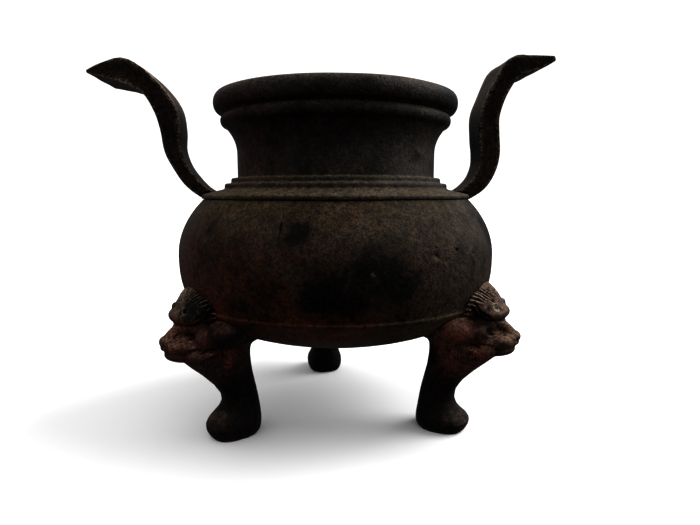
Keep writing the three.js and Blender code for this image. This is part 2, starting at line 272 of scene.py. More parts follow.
def seat(piece, node, slot, angle=0):
    """Turns a piece to its place round the vessel's axis and lets it stand for its solid."""
    piece.data.transform(Matrix.Translation(axis) @ Matrix.Rotation(math.radians(angle), 4, "Z"))
    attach(piece, "root")
    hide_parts(node)
    seated.append((piece, slot))
    triangles = sum(len(face.vertices) - 2 for face in piece.data.polygons)
    print(piece.name, "stands for", node, "with", triangles, "triangles")


# %% [markdown]
# ## The bowl
# The lower belly is fuller than an ellipse, with a nearly flat bottom; the upper belly is a
# plain ellipse up to the ledge that carries the collar. A thin raised line runs round it at the
# level of the masks. Inside stand three flat bosses, one round each leg's tenon. The curves
# are formulas, so the spun outline can have its points close together where it turns fast.

# %% Belly curves
belly_height = 93.5
belly_fullness = 2.75
belly_rise = 56
bowl_wall = 4.5
ledge_thickness = 5
mouth_radius = belly_radius - 27.3
band_height = 69
band_above = 1
band_below = 6
band_proud = 1.3
belly_depth = belly_height - bowl_bottom
lower_steps = 28
upper_steps = 16
below_steps = 8
above_steps = 5


def lower_radius(height, inset):
    """The lower belly's radius at a level, on a skin inset from its outside."""
    drop = (belly_height - height) / (belly_depth - inset)
    return (belly_radius - inset) * (1 - drop ** belly_fullness) ** (1 / belly_fullness)


def lower_height(radius, inset):
    """The level at which the lower belly has a radius."""
    share = radius / (belly_radius - inset)
    return belly_height - (belly_depth - inset) * (1 - share ** belly_fullness) ** (1 / belly_fullness)


def upper_radius(height, inset):
    """The upper belly's radius at a level."""
    climb = (height - belly_height) / (belly_rise - inset)
    return (belly_radius - inset) * math.sqrt(1 - climb ** 2)


def belly_outline(inset, top, band):
    """Points of the belly from its bottom on the axis up to a level. Band is the line's rise."""
    heights = []
    for i in range(lower_steps + 1):
        turn = math.pi / 2 * i / lower_steps
        heights.append(belly_height - (belly_depth - inset) * math.cos(turn) ** (2 / belly_fullness))
    if band:
        heights = [h for h in heights if not -band_below < h - band_height < 2 * band_above]
        heights += [band_height - band_below * i / below_steps for i in range(below_steps + 1)]
        heights += [band_height + 2 * band_above * i / above_steps for i in range(1, above_steps + 1)]
    points = []
    for height in sorted(heights):
        reach = band_above if height > band_height else band_below / 2
        proud = band * math.exp(-((height - band_height) / reach) ** 2)
        points.append((lower_radius(height, inset) + proud if points else 0, height))
    for i in range(1, upper_steps + 1):
        height = belly_height + (top - belly_height) * math.sin(math.pi / 2 * i / upper_steps)
        points.append((upper_radius(height, inset), height))
    return points


print("radius at the raised line:", round(lower_radius(band_height, 0), 1), "mm")

# %% Bowl casting
leg_angles = {"front_left_leg": 212, "front_right_leg": 327, "rear_leg": 95}
leg_tenon_circle = belly_radius - 26.3
leg_tenon_radius = 5
pad_radius = 9.5
pad_height = 9
pad_proud = 0.8
pad_top = lower_height(leg_tenon_circle + pad_radius, bowl_wall) + pad_proud


def upright(radius, low, high, outward, angle=0, rounding=0.8):
    """A round bar between two levels, at a place outward from the axis, with rounded ends."""
    corners = [(0, low, 0), (radius, low, rounding), (radius, high, rounding), (0, high, 0)]
    bm = spun(rounded(corners), pin_segments)
    turn = Matrix.Rotation(math.radians(angle), 4, "Z")
    bmesh.ops.transform(bm, matrix=turn @ Matrix.Translation((outward * MM, 0, 0)), verts=bm.verts)
    return bm


ledge_bottom = ledge_top - ledge_thickness
outside = belly_outline(0, ledge_top, band_proud)
inside = belly_outline(bowl_wall, ledge_bottom, 0)
bowl_bm = spun([*outside, (mouth_radius, ledge_top), (mouth_radius, ledge_bottom), *reversed(inside)])
unevenness(bowl_bm, amount=0.35, patch=38)
bowl = made(bowl_bm, "bowl_casting")
for angle in leg_angles.values():
    pad = made(upright(pad_radius, pad_top - pad_height, pad_top, leg_tenon_circle, angle), "pad")
    combine(bowl, pad, "UNION")

# %% Flaws of the casting
# Gas pits right of the middle: degrees round the bowl, level and radius in mm. The balls that
# cut them are lifted a little out of the skin, so the pits stay shallow.
gas_pits = [
    (297.6, 103, 0.7), (297.2, 99.6, 0.8), (301, 96.8, 0.7), (306.2, 101.2, 1.2), (315, 98.4, 0.7),
]
pit_lift = 0.3
pit_bm = bmesh.new()
for angle, level, radius in gas_pits:
    turn = Matrix.Rotation(math.radians(angle), 4, "Z")
    spot = Matrix.Translation(((upper_radius(level, 0) + pit_lift) * MM, 0, level * MM))
    bmesh.ops.create_icosphere(pit_bm, subdivisions=3, radius=radius * MM, matrix=turn @ spot)
# A fine dark line to the left of the middle, where two flows of metal met: a thin cone, tipped
# to lie along the belly, cuts it.
line_angle = 250.2
line_level = 109
line_length = 12.5
line_thin = 0.35
line_thick = 0.75
line_out = upper_radius(line_level, 0)
line_slope = math.atan((belly_radius / belly_rise) ** 2 * (line_level - belly_height) / line_out)
lie = Matrix.Translation((line_out * MM, 0, line_level * MM)) @ Matrix.Rotation(-line_slope, 4, "Y")
bmesh.ops.create_cone(
    pit_bm, cap_ends=True, segments=12, radius1=line_thin * MM, radius2=line_thick * MM,
    depth=line_length * MM, matrix=Matrix.Rotation(math.radians(line_angle), 4, "Z") @ lie,
)
combine(bowl, made(pit_bm, "gas_pits"), "DIFFERENCE")
seat(bowl, "bowl", "bowl_bronze")

# %% [markdown]
# ## The collar
# Flange, two small steps, neck, bead and rolled lip were cast in one and turned true. The edges
# are soft from wear. A spigot reaches down into the bowl's mouth. It is one more spun outline:
# corners for the flange and the steps, half rounds for bead and lip, a hollow curve between.

# %% Collar casting
flange_bottom = ledge_top + seat_gap
flange_top = flange_bottom + 5.2
flange_edge = 2
step_run = 3.6
step_rise = 3
neck_radius = flange_radius - 19.4
neck_wall = 5
neck_bottom = flange_top + 2 * step_rise
neck_straight = 13
bead_height = neck_bottom + 30.6
bead_radius = neck_radius + 8.6
bead_size = 3.4
lip_radius = neck_radius + 12.2
lip_height = neck_bottom + 39.8
lip_size = rim_top - lip_height
rim_width = 3.2
bead_depth = (bead_radius - neck_radius) / 3
lip_depth = (lip_radius - neck_radius) / 4
cavetto_sweep = 2.2
cavetto_steps = 8
moulding_steps = 12


def moulding(radius, height, size, depth):
    """A half-round moulding as unrounded corners, from below its widest level to above it."""
    turns = [math.pi * (i / moulding_steps - 0.5) for i in range(moulding_steps + 1)]
    return [(radius - depth * (1 - math.cos(t)), height + size * math.sin(t), 0) for t in turns]


def collar_corners(gap):
    """The collar's outside from the flange's edge to the lip, moved out by a gap."""
    step_outer = neck_radius + 2 * step_run + gap
    neck_top = neck_bottom + neck_straight
    cavetto_end = (bead_radius - bead_depth, bead_height - bead_size)
    cavetto = []
    for i in range(1, cavetto_steps):
        t = i / cavetto_steps
        radius = neck_radius + (cavetto_end[0] - neck_radius) * t ** cavetto_sweep
        cavetto.append((radius + gap, neck_top + (cavetto_end[1] - neck_top) * t, 0))
    return [
        (flange_radius + gap, flange_bottom, 0.5),
        (flange_radius + gap, flange_bottom + flange_edge + gap, 1.1),
        (step_outer, flange_top + gap, 0.9),
        (step_outer, flange_top + step_rise + gap, 1.6),
        (step_outer - step_run, flange_top + step_rise + gap, 1.1),
        (step_outer - step_run, neck_bottom + gap, 1.6),
        (neck_radius + gap, neck_bottom + gap, 0.8),
        (neck_radius + gap, neck_top, 1),
        *cavetto,
        *moulding(bead_radius + gap, bead_height, bead_size, bead_depth),
        *moulding(lip_radius + gap, lip_height, lip_size, lip_depth),
    ]


spigot_radius = mouth_radius - fit
bore_radius = neck_radius - neck_wall
rim_outer = lip_radius - lip_depth
collar_bm = spun(rounded([
    (bore_radius, spigot_bottom, 0.6),
    (spigot_radius, spigot_bottom, 0.8),
    (spigot_radius, flange_bottom, 0),
    *collar_corners(0),
    (rim_outer - rim_width, rim_top, 1.2),
    (rim_outer - 2 * rim_width, rim_top - rim_width / 2, 2),
    (bore_radius + (bead_radius - neck_radius) / 2, bead_height, 4),
    (bore_radius, neck_bottom + neck_straight, 5),
]))
unevenness(collar_bm, amount=0.3, patch=30)
collar = made(collar_bm, "collar_casting")
seat(collar, "neck_collar", "collar_bronze")

# %% [markdown]
# ## The handles
# Each handle is a flat strap, thick in its middle, that climbs in an S and was hammered out at
# its end to a thin flared edge. A curve with a bevel would keep one section all along, so here
# a rectangle's outline is extruded from station to station and stretched at each one. The ends
# are closed, and the sharp edges then get a small bevel.

# %% Strap handles
strap_width = 18
tip_width = 40
# The strap widens from this share of its length on, slowly at first.
flare_start = 0.34
flare_sweep = 1.4
strap_steps = 44
strap_bevel = 0.8
sharp_angle = 50
# How much the strap's beveled edges are lightened: wear, and partly a painted highlight.
edge_wear_and_highlight = 0.5
handle_angles = {"left_handle": 180, "right_handle": 0}
# Stations: outward from the axis, level, thickness, all in mm.
handle_stations = {
    "left_handle": [
        (68.5, 124.4, 5.6), (74.8, 128, 6), (80.9, 133.8, 7), (86.1, 141.8, 7.4), (89.8, 151, 9),
        (90.4, 162, 10.6), (92.2, 171.6, 11.2), (98.3, 181.7, 9.8), (105.8, 187.6, 11.6),
        (111.8, 190, 12.4), (118, 189.6, 9.2), (123.6, 189, 5.4), (128, 188.1, 1.6),
    ],
    "right_handle": [
        (69, 124.3, 6.4), (75.9, 127.6, 7.8), (82.3, 133.3, 9.4), (86.3, 141.4, 10.6), (87.4, 150, 12),
        (86.4, 160, 12), (86, 170, 11.4), (88.8, 180, 10), (92.9, 188.7, 10.2), (97.8, 195.8, 10.8),
        (104.8, 196.9, 9.4), (111.6, 198, 6.8), (118, 199.4, 2.6),
    ],
}


def smooth_line(points, count, fineness=24, tolerance=1e-9):
    """Points at even steps along a Catmull-Rom line through the given ones."""
    points = [Vector(p) for p in points]
    points = [points[0] * 2 - points[1], *points, points[-1] * 2 - points[-2]]
    fine = []
    for a, b, c, d in zip(points, points[1:], points[2:], points[3:]):
        for k in range(fineness):
            t = k / fineness
            fine.append((b * 2 + (c - a) * t + (a * 2 - b * 5 + c * 4 - d) * t ** 2
                         + (b * 3 - a - c * 3 + d) * t ** 3) / 2)
    fine.append(points[-2])
    lengths = [0]
    for a, b in zip(fine, fine[1:]):
        lengths.append(lengths[-1] + (b - a).xy.length)
    line = []
    for i in range(count + 1):
        target = lengths[-1] * i / count
        k = next(j for j in range(1, len(fine)) if lengths[j] >= target - tolerance)
        part = (target - lengths[k - 1]) / (lengths[k] - lengths[k - 1])
        line.append(fine[k - 1].lerp(fine[k], part))
    return line


def strap(stations):
    """The strap: the outline of its section drawn along its middle line, then closed and beveled."""
    line = smooth_line(stations, strap_steps)
    # A square of side 1, stood across the strap; each station stretches it to its own section.
    bm = bmesh.new()
    ring = bmesh.ops.create_circle(bm, segments=4, radius=math.sqrt(0.5))["verts"]
    bmesh.ops.rotate(bm, verts=ring, matrix=Matrix.Rotation(math.radians(45), 3, "Z"))
    bmesh.ops.subdivide_edges(bm, edges=bm.edges[:], cuts=3)
    stand = Matrix.Rotation(math.radians(90), 4, "Y")
    bmesh.ops.transform(bm, matrix=stand, verts=bm.verts)
    here = Matrix.Identity(4)
    edges = bm.edges[:]
    for i, (outward, level, thickness) in enumerate(line):
        before, after = line[max(i - 1, 0)], line[min(i + 1, len(line) - 1)]
        climb = math.atan2(after[1] - before[1], after[0] - before[0])
        flare = max(0, (i / strap_steps - flare_start) / (1 - flare_start)) ** flare_sweep
        width = strap_width + (tip_width - strap_width) * flare
        place = Matrix.Translation((outward * MM, 0, level * MM)) @ Matrix.Rotation(-climb, 4, "Y")
        there = place @ Matrix.Diagonal((1, width * MM, thickness * MM, 1))
        if i:
            grown = bmesh.ops.extrude_edge_only(bm, edges=edges)["geom"]
            edges = [item for item in grown if isinstance(item, bmesh.types.BMEdge)]
        verts = list({vert for edge in edges for vert in edge.verts})
        bmesh.ops.transform(bm, matrix=there @ here.inverted(), verts=verts)
        here = there
    ends = [edge for edge in bm.edges if edge.is_boundary]
    bmesh.ops.holes_fill(bm, edges=ends, sides=0)
    bmesh.ops.recalc_face_normals(bm, faces=bm.faces)
    sharp = [edge for edge in bm.edges if edge.calc_face_angle(0) > math.radians(sharp_angle)]
    wear_and_highlight = bm.verts.layers.float.new("wear_and_highlight")
    rounding = bmesh.ops.bevel(
        bm, geom=sharp, offset=strap_bevel * MM, offset_type="OFFSET", segments=3, profile=0.5,
        affect="EDGES", material=-1, clamp_overlap=True,
    )
    # The rounded edges are marked for a lighter tan: wear, and partly a painted highlight.
    for vert in rounding["verts"]:
        vert[wear_and_highlight] = edge_wear_and_highlight
    return bm


# %% Cutters for handles and legs
# A handle or leg is cut by what it stands against, grown by the gap. The cutters are rings, so
# that nothing of them lies on the axis.
cutter_bore = 40


def seat_body():
    """A ring with everything that a handle's foot stands against, grown by the gap."""
    corners = [(cutter_bore, ledge_bottom, 0), (flange_radius + seat_gap, ledge_bottom, 0)]
    corners += [*collar_corners(seat_gap), (cutter_bore, rim_top, 0)]
    return made(spun(rounded(corners)), "seat_body")


def belly_body():
    """The belly as a ring grown by the gap, for cutting what stands against it."""
    grown = belly_outline(-seat_gap, ledge_top, band_proud)
    grown = [point for point in grown if point[0] > cutter_bore]
    return made(spun([(cutter_bore, grown[0][1]), *grown, (cutter_bore, ledge_top)]), "belly_body")


# %% Handles cut to the flange
handle_rove_radius = 5
handle_tenon_radius = 3
handle_peen_radius = 4.3
handle_peen_height = 1.8
rove_to_wall = 0.6
handle_tenon_circle = upper_radius(ledge_bottom, bowl_wall) - handle_rove_radius - rove_to_wall
handle_rove_thickness = 1.8
handle_rove_bottom = ledge_bottom - seat_gap - handle_rove_thickness
handle_peen_top = handle_rove_bottom - seat_gap
# The tenon reaches from inside its peened head up to the strap's foot.
handle_tenon_low = handle_rove_bottom - 1
handle_tenon_top = flange_top - 1.6

for node, angle in handle_angles.items():
    strap_bm = strap(handle_stations[node])
    unevenness(strap_bm, amount=0.5, patch=14)
    handle = made(strap_bm, node + "_strap")
    combine(handle, seat_body(), "DIFFERENCE")
    combine(handle, belly_body(), "DIFFERENCE")
    tenon = upright(handle_tenon_radius, handle_tenon_low, handle_tenon_top, handle_tenon_circle)
    combine(handle, made(tenon, "tenon"), "UNION")
    head_low = handle_peen_top - handle_peen_height
    head = upright(handle_peen_radius, head_low, handle_peen_top, handle_tenon_circle)
    combine(handle, made(head, "head"), "UNION")
    seat(handle, node, "handle_bronze", angle)


# %% [markdown]
# ## The legs
# A leg was cast whole: hoof, ankle, haunch and the mask above it. Its masses are built like clay:
# a swept leg, and round lumps for mane, skull, cheeks, muzzle, jaw and jowl and for the haunch
# that swells behind the mask. A voxel remesh welds the lumps into one skin. The chaser's lines,
# such as the groove under the brow, the hair and the mouth, are then pressed into that skin, so
# they are real relief.
# A leg is modelled pointing outward along +X, with u outward, v sideways and z up.

# %% Masses of the leg
leg_voxel = 0.6
leg_segments = 28
# An ellipse's exponent is 1; a lower one makes the levels squarer.
leg_squareness = 0.8
# Levels of the leg: height, back and front outward from the axis, half its width, all in mm.
leg_levels = [
    (0, 55.3, 78.4, 10), (1.6, 53.6, 80, 11.2), (4, 52.9, 81.1, 12), (6.6, 52.7, 81.2, 12.2),
    (9.4, 52.7, 79.7, 11.9), (12, 52.9, 76.8, 11), (14.8, 53.2, 74, 9.9), (18, 53.7, 72.3, 9.3),
    (22.4, 54.5, 73, 9.1), (28.4, 55.9, 77, 9.5), (35, 57.3, 83.3, 10.4), (40, 57.9, 88.9, 11),
    (44, 58.1, 93, 11.4), (47.2, 57.9, 94, 11.7), (49.2, 57.2, 93.4, 11.9), (50.6, 55.4, 93, 12.2),
    (51.8, 51.6, 93, 13), (57, 51, 90, 12),
]
# Lumps: middle (u, v, z), half sizes, then the pitch in degrees, nose down. Pairs get v and -v.
leg_lumps = {
    "mane": ((87.2, 0, 72.4), (12.3, 13.4, 6.4), 58),
    "mane_lip": ((89.8, 0, 67.4), (8.5, 13.6, 4.6), 0),
    "mane_side": ((82.6, 11.6, 71.6), (7.2, 6.8, 8), 22),
    "skull": ((79.6, 0, 61), (15, 15.6, 15), 0),
    "haunch": ((75, 10.5, 61), (12.5, 16.5, 8.6), 24),
    "stop": ((92.6, 0, 61.9), (4.5, 6, 3.6), 0),
    "curl": ((93.2, 6.6, 71.2), (2, 2.5, 2.2), 0),
    "side_curl": ((88.2, 13, 70.2), (2.4, 2.6, 2.6), 0),
    "bridge": ((96.2, 0, 58.9), (7.2, 3.6, 3.6), 36),
    "nose": ((100.5, 0, 55.7), (3.6, 4.3, 3.1), 0),
    "nostril_wing": ((99.6, 4, 54.8), (3.3, 2.3, 2.5), 0),
    "upper_lip": ((99, 0, 52.7), (4.4, 6.2, 2.7), 0),
    "muzzle": ((93.8, 5.4, 53.8), (8.4, 6, 3.9), 4),
    "cheek": ((84.6, 10.4, 57), (7.2, 5.6, 6.4), 0),
    "eye": ((91.4, 8, 58.2), (2.4, 2.3, 1.8), 0),
    "jaw": ((92.4, 0, 48.1), (9.4, 7.8, 3.9), -6),
    "chin": ((97.8, 0, 48.4), (3.4, 5.2, 2.7), 0),
    "jowl": ((84, 9.6, 47.4), (10.8, 5.6, 6.2), -10),
    "jowl_boss": ((73.4, 10.8, 45.4), (3.2, 2.8, 4.2), 0),
}


def swept_leg():
    """The leg's levels as one closed body, drawn upward from the sole."""
    bm = bmesh.new()
    ring = bmesh.ops.create_circle(bm, segments=leg_segments, radius=1)["verts"]
    for vert in ring:
        for k in (0, 1):
            vert.co[k] = math.copysign(abs(vert.co[k]) ** leg_squareness, vert.co[k])
    here = Matrix.Identity(4)
    edges = bm.edges[:]
    for i, (height, back, front, half) in enumerate(leg_levels):
        place = Matrix.Translation(((back + front) / 2, 0, height))
        there = place @ Matrix.Diagonal(((front - back) / 2, half, 1, 1))
        if i:
            grown = bmesh.ops.extrude_edge_only(bm, edges=edges)["geom"]
            edges = [item for item in grown if isinstance(item, bmesh.types.BMEdge)]
        verts = list({vert for edge in edges for vert in edge.verts})
        bmesh.ops.transform(bm, matrix=there @ here.inverted(), verts=verts)
        here = there
    bmesh.ops.holes_fill(bm, edges=[edge for edge in bm.edges if edge.is_boundary], sides=0)
    return bm


def add_lump(bm, middle, half, pitch):
    """An egg-shaped lump, tipped nose down by the pitch."""
    turn = Matrix.Rotation(math.radians(pitch), 4, "Y")
    place = Matrix.Translation(middle) @ turn @ Matrix.Diagonal((*half, 1))
    bmesh.ops.create_icosphere(bm, subdivisions=4, radius=1, matrix=place)


def clay_leg():
    """All masses of a leg welded into one skin, in mm."""
    bm = swept_leg()
    for middle, half, pitch in leg_lumps.values():
        add_lump(bm, middle, half, pitch)
        if middle[1]:
            add_lump(bm, (middle[0], -middle[1], middle[2]), half, pitch)
    bmesh.ops.recalc_face_normals(bm, faces=bm.faces)
    clay = made(bm, "leg_clay")
    weld = clay.modifiers.new("weld", "REMESH")
    weld.mode = "VOXEL"
    weld.voxel_size = leg_voxel
    soften = clay.modifiers.new("soften", "SMOOTH")
    soften.factor = 0.5
    soften.iterations = 5
    apply_modifiers(clay)
    return clay


print("a leg has", len(leg_levels), "levels and", len(leg_lumps), "kinds of lump")


# %% How near the skin is to a line
def nearness(places, line, width):
    """How near each place is to a line of points: 1 on it, 0 from the width outward."""
    nearest = np.full(len(places), np.inf)
    points = [np.array(point, float) for point in line]
    for a, b in zip(points, points[1:]):
        run = b - a
        along = np.clip((places - a) @ run / (run @ run), 0, 1)
        gap = np.linalg.norm(places - a - along[:, None] * run, axis=1)
        nearest = np.minimum(nearest, gap)
    near = np.clip(1 - nearest / width, 0, 1)
    return near * near * (3 - 2 * near)


# %% Lines of the mask
# The curl's face looks this far outward and this far sideways.
curl_out = 0.3
curl_side = 0.954
curl_facing = Vector((curl_out, curl_side, 0))
curl_face = Vector((93.9, 8.8, 71.4))
curl_steps = 10


def curl_circle(radius, sink):
    """A circle on the outward face of the curl, or sunk below that face."""
    turns = [math.tau * i / curl_steps for i in range(curl_steps + 1)]
    middle = curl_face - curl_facing * sink
    spokes = [Vector((curl_side * math.sin(t), -curl_out * math.sin(t), math.cos(t))) for t in turns]
    return [middle + spoke * radius for spoke in spokes]


# Lines on one side of the mask, mirrored to the other: points (u, v, z), half width and depth.
# A negative depth raises a ridge.
mask_lines = {
    "under_mane": ([(84.6, 18, 72), (87.2, 15.4, 66.4), (91, 11.4, 64.2), (95.4, 5.8, 63.8)], 1.6, 1.3),
    "under_curl": ([(95.4, 5.8, 63.8), (98.4, 0, 63.2)], 1.2, 0.6),
    "mane_fold": ([(85.6, 17.6, 75), (88.6, 15.4, 69.2), (91.6, 12.4, 66.8)], 1, 1),
    "curl_rim": (curl_circle(2.9, 1.8), 1.3, 0.9),
    "curl_groove": (curl_circle(1, 0.2), 0.7, 0.5),
    "side_rim": ([(84.6, 15, 74.4), (87.8, 11.4, 74), (90.4, 10.6, 71)], 1, 0.8),
    "eye_socket": ([(90.2, 11, 58.4), (93, 9, 59), (95.4, 6, 58.8)], 2.6, 1.3),
    "eyeball": ([(92.4, 9.2, 58.4), (94, 7.6, 58.4)], 1.4, -1.1),
    "nose_side": ([(96.6, 3.6, 58.8), (97.8, 6, 56.4)], 1.1, 0.8),
    "nostril": ([(102.6, 2.8, 54.6), (101, 5.2, 54)], 1.2, 1.2),
    "mouth": (
        [(103, 0, 50.8), (101.4, 4, 50.8), (97.4, 7.4, 50.2), (91.6, 10.2, 50), (86.4, 12.6, 51.4)],
        1.1, 1.2,
    ),
    "jowl_top": ([(91.4, 11.6, 48.6), (86, 14.4, 51.8), (79, 14.8, 53), (73, 13.4, 51.4)], 1.1, 1),
    "jowl_back": ([(74.4, 13.8, 51.6), (71.4, 13, 46.6), (72.4, 12, 40)], 1.1, 1.2),
    "cheek_ridge": (
        [(97.6, 6.4, 54.6), (93, 10.4, 53.4), (88, 13.2, 54.6), (84.6, 15, 58.6), (83.6, 16, 63.6)],
        1.9, -1.3,
    ),
    "jowl_ridge": (
        [(74.6, 12.6, 40.4), (73.4, 13.4, 46), (76.2, 14.2, 50), (82, 15, 50.2), (88, 13.6, 48.2)],
        1.4, -1,
    ),
}
print("lines on each side of a mask:", len(mask_lines))

# %% Lines and hair pressed into the skin
# The mane's hair fans out from the brow's middle, in a band along the mane's edge; its pitch is
# in degrees. The jowl's hair is shallower and runs across it; its pitch is in mm.
mane_band = [(81, 18.4, 70), (84, 17.2, 75), (88, 12.6, 78), (91.6, 7, 78.6), (92, 0, 79)]
jowl_band = [(77.4, 13.6, 43.6), (81, 14.4, 46.4), (86, 13.8, 46)]
mane_half = 5.4
jowl_half = 4.2
fan_level = 64
hair_pitch = 6.6
jowl_pitch = 1.5
hair_depth = 0.8
jowl_depth = hair_depth * 0.6
# Relief this deep counts as wholly hollow; what lies under this level is the flat sole.
full_hollow = 1.2
sole_level = 0.35


def chase(clay):
    """Presses the lines and the hair into the leg's skin and keeps the relief for the patina."""
    mesh = clay.data
    count = len(mesh.vertices)
    places = np.empty(count * 3)
    mesh.vertices.foreach_get("co", places)
    places = places.reshape(-1, 3)
    normals = np.empty(count * 3)
    mesh.vertices.foreach_get("normal", normals)
    normals = normals.reshape(-1, 3)
    mirrored = places.copy()
    mirrored[:, 1] = np.abs(mirrored[:, 1])
    depth = np.zeros(count)
    for line, width, sink in mask_lines.values():
        depth += nearness(mirrored, line, width) * sink
    fan = np.degrees(np.arctan2(mirrored[:, 2] - fan_level, mirrored[:, 1]))
    comb = 0.5 - 0.5 * np.cos(fan * math.tau / hair_pitch)
    band = np.clip(nearness(mirrored, mane_band, mane_half) * 2, 0, 1)
    depth += band * comb * hair_depth
    # Ridges between the mane's hairs and the curl's ring are marked lighter: wear, and partly a painted
    # highlight.
    wear_and_highlight = band * (1 - comb)
    wear_and_highlight += nearness(mirrored, curl_circle(1.5, 0.3), 1.6) * 2
    ribs = 0.5 - 0.5 * np.cos(mirrored[:, 0] * math.tau / jowl_pitch)
    depth += np.clip(nearness(mirrored, jowl_band, jowl_half) * 2, 0, 1) * ribs * jowl_depth
    places = places - normals * depth[:, None]
    places[:, 2] = np.where(places[:, 2] < sole_level, 0, places[:, 2])
    mesh.vertices.foreach_set("co", places.ravel())
    hollow = mesh.attributes.new("hollow", "FLOAT", "POINT")
    hollow.data.foreach_set("value", np.clip(depth / full_hollow, 0, 1).astype(np.float32))
    rubbed_and_highlit = mesh.attributes.new("wear_and_highlight", "FLOAT", "POINT")
    # A hand doesn't reach into a line, and it rubs a raised ridge a little; that slight lightening is
    # partly a painted highlight.
    wear_and_highlight -= depth / np.where(depth > 0, 0.6, 5)
    rubbed_and_highlit.data.foreach_set("value", np.clip(wear_and_highlight, 0, 1).astype(np.float32))
    mesh.transform(Matrix.Scale(MM, 4))
    mesh.update()


# %% Legs cut to the belly, with their tenons
leg_rove_radius = 8.5
leg_rove_thickness = 2.5
leg_peen_radius = 7
leg_peen_height = 3
leg_peen_rounding = 2.6
leg_peen_bottom = pad_top + 2 * seat_gap + leg_rove_thickness
# The tenon reaches from inside the leg to inside the peened head.
leg_tenon_low = 51
leg_tenon_top = leg_peen_bottom + 0.6
# Where the moulder's changes act, in mm: round the ankle's level, more and more up to the top's
# level, and from the mask's start outward.
ankle_level = 14
ankle_spread = 7
top_level = 50
mask_start = 88
mask_length = 16
mask_limit = 1.1


def finished(clay, foot_out, top_out, mask_out, ankle_down):
    """A leg with the moulder's small changes in mm, cut to the belly, with its tenon and peen."""
    leg = bpy.data.objects.new("leg", clay.data.copy())
    bpy.context.scene.collection.objects.link(leg)
    for vert in leg.data.vertices:
        u, v, z = vert.co / MM
        low = math.exp(-((z - ankle_level) / ankle_spread) ** 2)
        along = min(max((u - mask_start) / mask_length, 0), mask_limit)
        u += foot_out + (top_out - foot_out) * min(z / top_level, 1) + mask_out * along
        vert.co = Vector((u, v, z - ankle_down * low)) * MM
    combine(leg, belly_body(), "DIFFERENCE")
    tenon = upright(leg_tenon_radius, leg_tenon_low, leg_tenon_top, leg_tenon_circle)
    combine(leg, made(tenon, "tenon"), "UNION")
    peen = upright(
        leg_peen_radius, leg_peen_bottom, leg_peen_bottom + leg_peen_height, leg_tenon_circle,
        rounding=leg_peen_rounding,
    )
    combine(leg, made(peen, "peen"), "UNION")
    return leg


# Each leg: how far out its foot, its top and its muzzle stand and how low its ankle is.
leg_changes = {
    "front_left_leg": (0.3, 0, 0, 0),
    "front_right_leg": (-0.6, 1.3, 0.9, 2.4),
    "rear_leg": (0, 0, 0, 0),
}
pattern = clay_leg()
chase(pattern)
for node, angle in leg_angles.items():
    casting = finished(pattern, *leg_changes[node])
    casting.name = node + "_casting"
    seat(casting, node, "leg_bronze", angle)
bpy.data.objects.remove(pattern)


# %% [markdown]
# ## The roves
# A rove is a small washer cut from sheet and hammered down under the peened end of a tenon. It
# is a spun outline with a hole, and a fine unevenness stands for the marks of the hammer.

# %% Roves
def rove(hole, radius, bottom, thickness, outward):
    """A washer with soft edges, a little uneven from the hammer."""
    top = bottom + thickness
    outline = [(hole, bottom, 0.3), (radius, bottom, 0.6), (radius, top, 0.9), (hole, top, 0.4)]
    bm = spun(rounded(outline), pin_segments)
    unevenness(bm, amount=0.4, patch=4)
    bmesh.ops.translate(bm, vec=(outward * MM, 0, 0), verts=bm.verts)
    return bm


for node, angle in leg_angles.items():
    ring = rove(
        leg_tenon_radius + fit, leg_rove_radius, pad_top + seat_gap, leg_rove_thickness,
        leg_tenon_circle,
    )
    seat(made(ring, node + "_washer"), node + "_rove", "rove_bronze", angle)
for node, angle in handle_angles.items():
    ring = rove(
        handle_tenon_radius + fit, handle_rove_radius, handle_rove_bottom, handle_rove_thickness,
        handle_tenon_circle,
    )
    seat(made(ring, node + "_washer"), node + "_rove", "rove_bronze", angle)

# %% [markdown]
# ## Patina
# All castings are the same bronze under old patina. One recipe layers it: a brown ground,
# red-brown stains where the metal shows, ochre and grey dust on top faces, a light tan on rubbed
# edges that is wear and partly a painted highlight, soot in the chased lines and in blotches,
# then the sand's grain and pits. A few marks are painted light and shade. An image texture
# could hold all this, but nodes stay sharp at any distance. Sizes are in mm.

# %% Spots at chosen places
wide_spot = 4
spot_core = 0.2


def spots(tree, place, ragged, marks):
    """A sum of spots, each (x, y, z, reach, strength) in mm: ragged if wide, round if small."""
    total = 0
    for x, y, z, reach, strength in marks:
        far = add_node(tree, "ShaderNodeVectorMath", {
            0: ragged if reach > wide_spot else place, 1: (x, y, z),
        }, operation="DISTANCE").outputs["Value"]
        near = add_node(tree, "ShaderNodeMapRange", {
            "Value": far, "From Min": reach, "From Max": reach * spot_core, "To Min": 0, "To Max": strength,
        }, interpolation_type="SMOOTHSTEP").outputs[0]
        total = add_node(tree, "ShaderNodeMath", {0: total, 1: near}, operation="ADD").outputs[0]
    return total


# %% The patina recipe
# Clouds: size in mm, detail, roughness, and how far they shake the marks' outlines, in mm.
# Moulding sand is nearer 0.3 mm, too fine to show, so its grain is drawn coarser.
cloud_kinds = {
    "blotch": (30, 8, 0.74, 0),
    "stain": (11, 8, 0.74, 14),
    "lump": (2.4, 3, 0.6, 8),
    "grain": (0.9, 2, 0.6, 3),
}
pit_spacing = 11
# Light tan of rubbed edges, ridges and curl rings: worn metal, and partly a painted highlight.
rubbed_and_highlight_tan = "#9a8b78"


